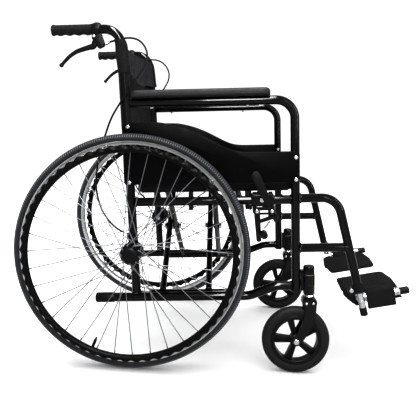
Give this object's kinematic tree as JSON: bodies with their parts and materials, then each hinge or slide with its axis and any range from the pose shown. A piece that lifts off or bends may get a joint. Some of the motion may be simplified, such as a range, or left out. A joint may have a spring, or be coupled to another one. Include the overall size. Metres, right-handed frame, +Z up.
{
  "type": "manual wheelchair",
  "caption": "Folding self-propelled wheelchair with a sling seat and back, padded arms, large spoked rear wheels with handrims, swivelling casters and flip-up footplates.",
  "frame": {"origin": "on the floor, under the middle of the bounding box", "axes": "+Z up, the chair faces -Y, +X is the side of the sitter's left hand"},
  "size_m": [0.6128, 1.0374, 0.884],
  "materials": {
    "frame_tube": "glossy black paint over steel tube",
    "guard_plastic": "satin black, fine grain",
    "pad": "moulded foam skin, fine grain",
    "grip_rubber": "matt, ribbed",
    "black_plastic": "smooth black",
    "cable": "black cable cover",
    "steel": "bright zinc",
    "plate_plastic": "moulded, satin",
    "tyre": "dark grey tread",
    "rim_metal": "satin",
    "spoke_steel": "bright",
    "handrim_plastic": "satin, black",
    "caster_plastic": "smooth black",
    "upholstery": "charcoal coated nylon, soft wrinkles"
  },
  "bodies": {
    "right_frame": {"right_back_post": "frame_tube", "right_arm_tube": "frame_tube", "right_seat_tube": "frame_tube", "right_lower_rail": "frame_tube", "right_legrest": "frame_tube", "right_caster_housing": "frame_tube", "right_skirt_guard": "guard_plastic", "right_arm_pad": "pad", "right_grip": "grip_rubber", "right_brake_clamp": "black_plastic", "right_brake_cable": "cable", "right_hub_brake": "frame_tube", "right_rear_axle": "steel", "right_lock_bracket": "frame_tube", "back_panel": "upholstery"},
    "brace_a": {"cross_brace_a": "frame_tube", "brace_pin_rear": "steel", "brace_pin_front": "steel"},
    "brace_b": {"cross_brace_b": "frame_tube", "seat_sling": "upholstery"},
    "left_frame": {"left_back_post": "frame_tube", "left_arm_tube": "frame_tube", "left_seat_tube": "frame_tube", "left_lower_rail": "frame_tube", "left_legrest": "frame_tube", "left_caster_housing": "frame_tube", "left_skirt_guard": "guard_plastic", "left_arm_pad": "pad", "left_grip": "grip_rubber", "left_brake_clamp": "black_plastic", "left_brake_cable": "cable", "left_hub_brake": "frame_tube", "left_rear_axle": "steel", "left_lock_bracket": "frame_tube"},
    "right_wheel": {"right_tyre": "tyre", "right_rim": "rim_metal", "right_spoked_hub": "spoke_steel", "right_handrim": "handrim_plastic"},
    "right_caster": {"right_caster_fork": "frame_tube", "right_caster_axle": "steel"},
    "right_caster_roller": {"right_caster_wheel": "caster_plastic", "right_caster_tyre": "tyre"},
    "right_footrest": {"right_footrest_tube": "steel"},
    "right_plate": {"right_footplate": "plate_plastic"},
    "right_brake": {"right_brake_lever": "black_plastic"},
    "right_lock": {"right_lock_lever": "black_plastic"},
    "right_shoe": {"right_lock_shoe": "frame_tube"},
    "left_wheel": {"left_tyre": "tyre", "left_rim": "rim_metal", "left_spoked_hub": "spoke_steel", "left_handrim": "handrim_plastic"},
    "left_caster": {"left_caster_fork": "frame_tube", "left_caster_axle": "steel"},
    "left_caster_roller": {"left_caster_wheel": "caster_plastic", "left_caster_tyre": "tyre"},
    "left_footrest": {"left_footrest_tube": "steel"},
    "left_plate": {"left_footplate": "plate_plastic"},
    "left_brake": {"left_brake_lever": "black_plastic"},
    "left_lock": {"left_lock_lever": "black_plastic"},
    "left_shoe": {"left_lock_shoe": "frame_tube"}
  },
  "joints": [
    {"name": "fold", "type": "hinge", "parent": "right_frame", "child": "brace_a", "pos_m": [-0.203, 0.06452, 0.1856], "axis": [0, -0.9973, 0.0732], "range_deg": [0, 40], "deforming": ["seat_sling", "back_panel"]},
    {"name": "brace_cross", "type": "hinge", "parent": "brace_a", "child": "brace_b", "pos_m": [0, 0.07513, 0.33021], "axis": [0, -0.9973, 0.0732], "range_deg": [-80, 0]},
    {"name": "left_side_fold", "type": "hinge", "parent": "brace_b", "child": "left_frame", "pos_m": [0.203, 0.06452, 0.1856], "axis": [0, -0.9973, 0.0732], "range_deg": [0, 40]},
    {"name": "right_wheel_spin", "type": "hinge", "parent": "right_frame", "child": "right_wheel", "pos_m": [-0.268, 0.21366, 0.305], "axis": [1, 0, 0], "continuous": true},
    {"name": "right_caster_swivel", "type": "hinge", "parent": "right_frame", "child": "right_caster", "pos_m": [-0.235, -0.2487, 0.24871], "axis": [0, 0.0732, 0.9973], "continuous": true},
    {"name": "right_caster_spin", "type": "hinge", "parent": "right_caster", "child": "right_caster_roller", "pos_m": [-0.235, -0.22434, 0.089], "axis": [1, 0, 0], "continuous": true},
    {"name": "right_footrest_height", "type": "slide", "parent": "right_frame", "child": "right_footrest", "axis": [0, -0.2924, -0.9563], "range_m": [0, 0.05]},
    {"name": "right_footplate_flip", "type": "hinge", "parent": "right_footrest", "child": "right_plate", "pos_m": [-0.214, -0.38909, 0.20488], "axis": [0, -0.9744, 0.225], "range_deg": [0, 72]},
    {"name": "right_brake_pull", "type": "hinge", "parent": "right_frame", "child": "right_brake", "pos_m": [-0.23, 0.33557, 0.84552], "axis": [1, 0, 0], "range_deg": [0, 18], "stiffness_Nm_per_rad": 0.5, "springref_deg": -11.46},
    {"name": "right_lock_pull", "type": "hinge", "parent": "right_frame", "child": "right_lock", "pos_m": [-0.25, -0.14019, 0.42925], "axis": [1, 0, 0], "range_deg": [0, 50]},
    {"name": "right_shoe_press", "type": "hinge", "parent": "right_frame", "child": "right_shoe", "pos_m": [-0.25, -0.1013, 0.42639], "axis": [1, 0, 0], "range_deg": [0, 25]},
    {"name": "left_wheel_spin", "type": "hinge", "parent": "left_frame", "child": "left_wheel", "pos_m": [0.268, 0.21366, 0.305], "axis": [1, 0, 0], "continuous": true},
    {"name": "left_caster_swivel", "type": "hinge", "parent": "left_frame", "child": "left_caster", "pos_m": [0.235, -0.2487, 0.24871], "axis": [0, 0.0732, 0.9973], "continuous": true},
    {"name": "left_caster_spin", "type": "hinge", "parent": "left_caster", "child": "left_caster_roller", "pos_m": [0.235, -0.22434, 0.089], "axis": [1, 0, 0], "continuous": true},
    {"name": "left_footrest_height", "type": "slide", "parent": "left_frame", "child": "left_footrest", "axis": [0, -0.2924, -0.9563], "range_m": [0, 0.05]},
    {"name": "left_footplate_flip", "type": "hinge", "parent": "left_footrest", "child": "left_plate", "pos_m": [0.214, -0.38909, 0.20488], "axis": [0, 0.9744, -0.225], "range_deg": [0, 72]},
    {"name": "left_brake_pull", "type": "hinge", "parent": "left_frame", "child": "left_brake", "pos_m": [0.23, 0.33557, 0.84552], "axis": [1, 0, 0], "range_deg": [0, 18], "stiffness_Nm_per_rad": 0.5, "springref_deg": -11.46},
    {"name": "left_lock_pull", "type": "hinge", "parent": "left_frame", "child": "left_lock", "pos_m": [0.25, -0.14019, 0.42925], "axis": [1, 0, 0], "range_deg": [0, 50]},
    {"name": "left_shoe_press", "type": "hinge", "parent": "left_frame", "child": "left_shoe", "pos_m": [0.25, -0.1013, 0.42639], "axis": [1, 0, 0], "range_deg": [0, 25]}
  ],
  "couplings": [
    {"joint": "brace_cross", "follows": "fold", "ratio": -2},
    {"joint": "left_side_fold", "follows": "fold", "ratio": 1},
    {"joint": "right_footplate_flip", "follows": "fold", "ratio": 1.8},
    {"joint": "right_shoe_press", "follows": "right_lock_pull", "ratio": 0.5},
    {"joint": "left_footplate_flip", "follows": "fold", "ratio": 1.8},
    {"joint": "left_shoe_press", "follows": "left_lock_pull", "ratio": 0.5}
  ]
}
